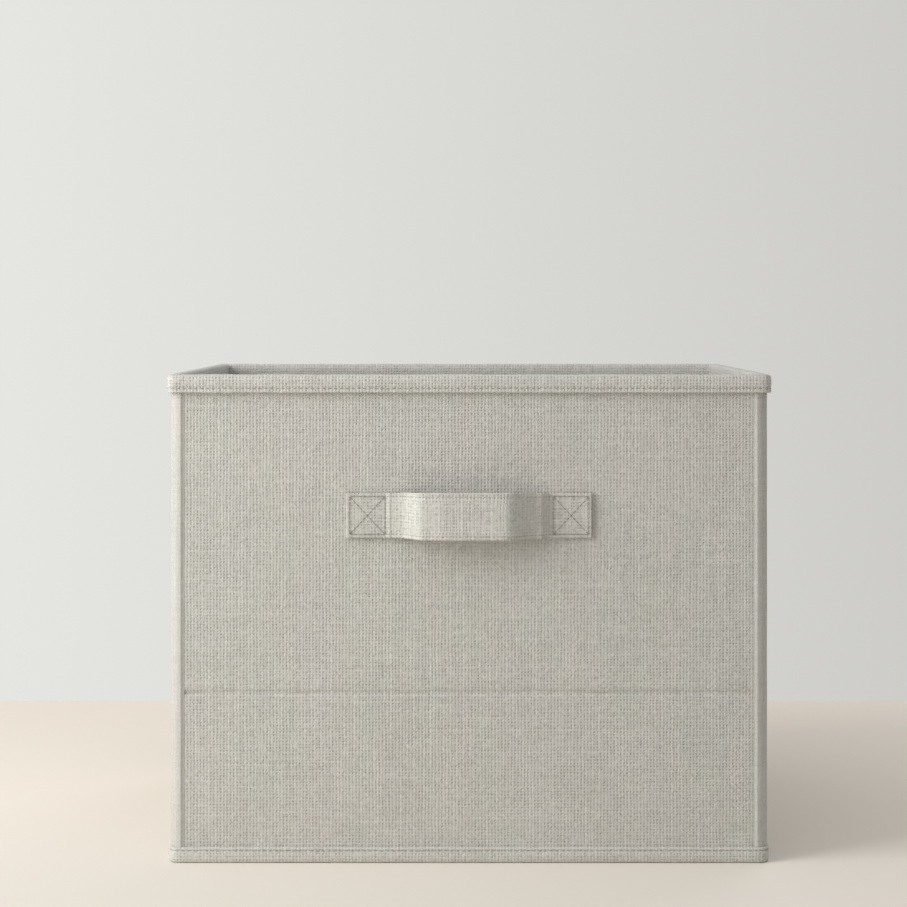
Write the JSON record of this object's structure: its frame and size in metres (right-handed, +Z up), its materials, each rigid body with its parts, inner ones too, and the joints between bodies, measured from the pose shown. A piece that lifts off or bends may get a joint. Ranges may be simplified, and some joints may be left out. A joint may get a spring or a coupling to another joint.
{
  "type": "fabric storage bin",
  "caption": "Rectangular open-topped fabric bin with board-stiffened cloth walls, bound edges, a lift-out base board and sewn strap handles.",
  "frame": {"origin": "centre of the underside", "axes": "+Z up, -Y towards the front wall with the handle, +X to the right as seen from the front"},
  "size_m": [0.3844, 0.3384, 0.31],
  "materials": {
    "linen_cloth": "coarse woven linen-look cloth, matt, pale greige with warmer and cooler threads",
    "binding_tape": "the same cloth cut as tape, folded and edge-stitched",
    "strap_cloth": "the same cloth folded double as a strap, edge-stitched",
    "lining_cloth": "plain matt non-woven lining, light grey",
    "insert_cloth": "plain matt cloth wrapped over the base board, light grey",
    "greyboard": "plain grey paperboard, matt"
  },
  "bodies": {
    "bin_shell": {"front_outer_cloth": "linen_cloth", "front_board": "greyboard", "front_lining": "lining_cloth", "rear_outer_cloth": "linen_cloth", "rear_board": "greyboard", "rear_lining": "lining_cloth", "left_outer_cloth": "linen_cloth", "left_board": "greyboard", "left_lining": "lining_cloth", "right_outer_cloth": "linen_cloth", "right_board": "greyboard", "right_lining": "lining_cloth", "rim_binding": "binding_tape", "base_binding": "binding_tape", "bottom_cloth": "lining_cloth", "corner_binding_front_left": "binding_tape", "corner_binding_front_right": "binding_tape", "corner_binding_rear_left": "binding_tape", "corner_binding_rear_right": "binding_tape", "front_handle_patch_left": "strap_cloth", "front_handle_patch_right": "strap_cloth", "rear_handle_patch_left": "strap_cloth", "rear_handle_patch_right": "strap_cloth"},
    "base_insert": {"base_board": "greyboard", "base_board_cover": "insert_cloth"},
    "front_handle_loop": {"front_handle_grip": "strap_cloth", "front_handle_lead_left": "strap_cloth", "front_handle_lead_right": "strap_cloth"},
    "rear_handle_loop": {"rear_handle_grip": "strap_cloth", "rear_handle_lead_left": "strap_cloth", "rear_handle_lead_right": "strap_cloth"}
  },
  "joints": [
    {"name": "base_board_lift", "type": "slide", "parent": "bin_shell", "child": "base_insert", "axis": [0, 0, 1], "range_m": [0, 0.32]},
    {"name": "front_handle_lift", "type": "hinge", "parent": "bin_shell", "child": "front_handle_loop", "pos_m": [0, -0.1492, 0.2206], "axis": [-1, 0, 0], "range_deg": [-25, 40], "stiffness_Nm_per_rad": 0.05, "deforming": ["front_handle_lead_left", "front_handle_lead_right"]},
    {"name": "rear_handle_lift", "type": "hinge", "parent": "bin_shell", "child": "rear_handle_loop", "pos_m": [0, 0.1492, 0.2206], "axis": [1, 0, 0], "range_deg": [-25, 40], "stiffness_Nm_per_rad": 0.05, "deforming": ["rear_handle_lead_left", "rear_handle_lead_right"]}
  ]
}
